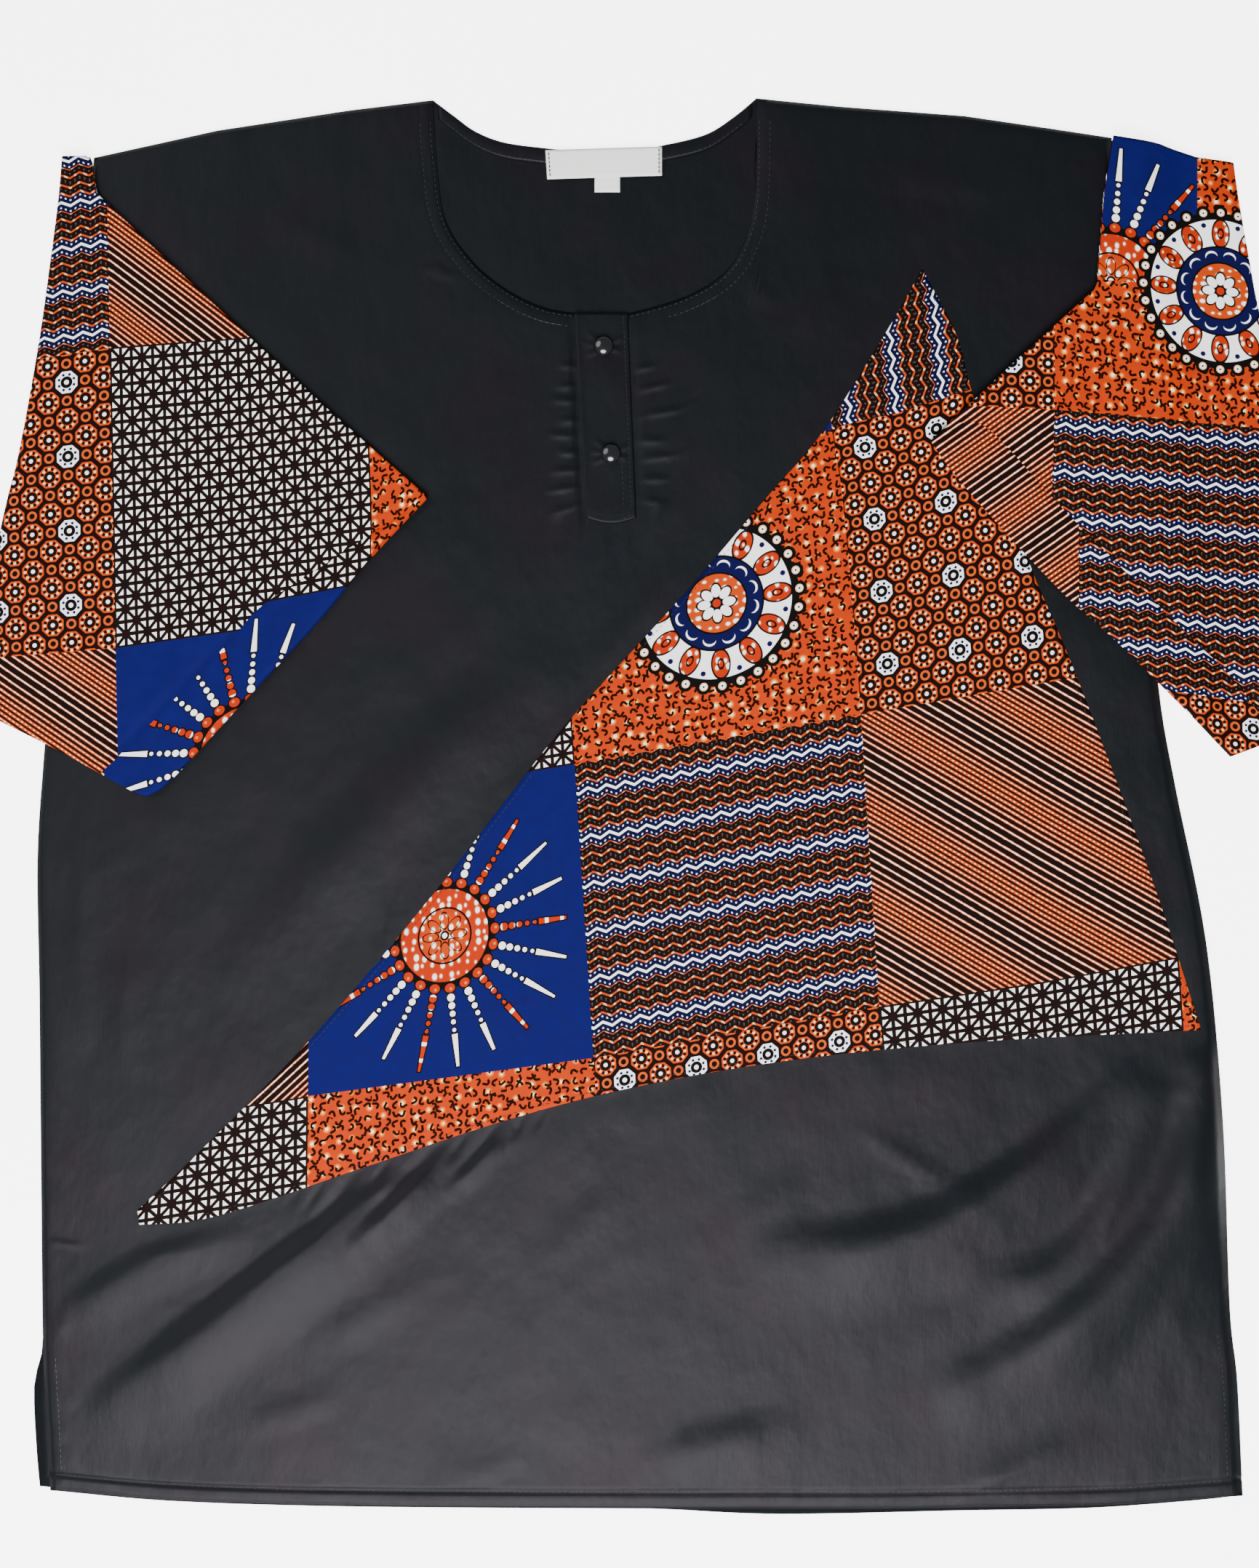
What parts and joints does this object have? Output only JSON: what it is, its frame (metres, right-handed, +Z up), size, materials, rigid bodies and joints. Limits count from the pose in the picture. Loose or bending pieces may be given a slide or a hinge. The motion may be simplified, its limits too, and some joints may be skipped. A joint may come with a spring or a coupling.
{
  "type": "dashiki shirt",
  "caption": "Loose round-neck dashiki shirt laid flat, black satin with wax-print sleeves folded down and a wax-print wedge across the front.",
  "frame": {"origin": "middle of the laid shirt's outline, on the surface it lies on", "axes": "+X to the right of the laid shirt, +Y toward the neck, +Z up from the surface"},
  "size_m": [0.78, 0.7782, 0.0089],
  "materials": {
    "black_satin": "soft satin sheen, fine weave",
    "wax_print": "matte printed cotton in orange, white, navy and dark brown",
    "label_tape": "smooth white woven tape, bare",
    "button_gloss": "glossy black dome"
  },
  "bodies": {
    "root": {"back_panel": "black_satin", "front_panel": "black_satin", "front_applique": "wax_print", "sleeve_left": "wax_print", "sleeve_right": "wax_print", "back_neck_facing": "black_satin", "placket_under": "black_satin", "placket_over": "black_satin", "neck_label": "label_tape", "size_tab": "label_tape", "button_upper": "button_gloss", "button_lower": "button_gloss"}
  },
  "joints": []
}
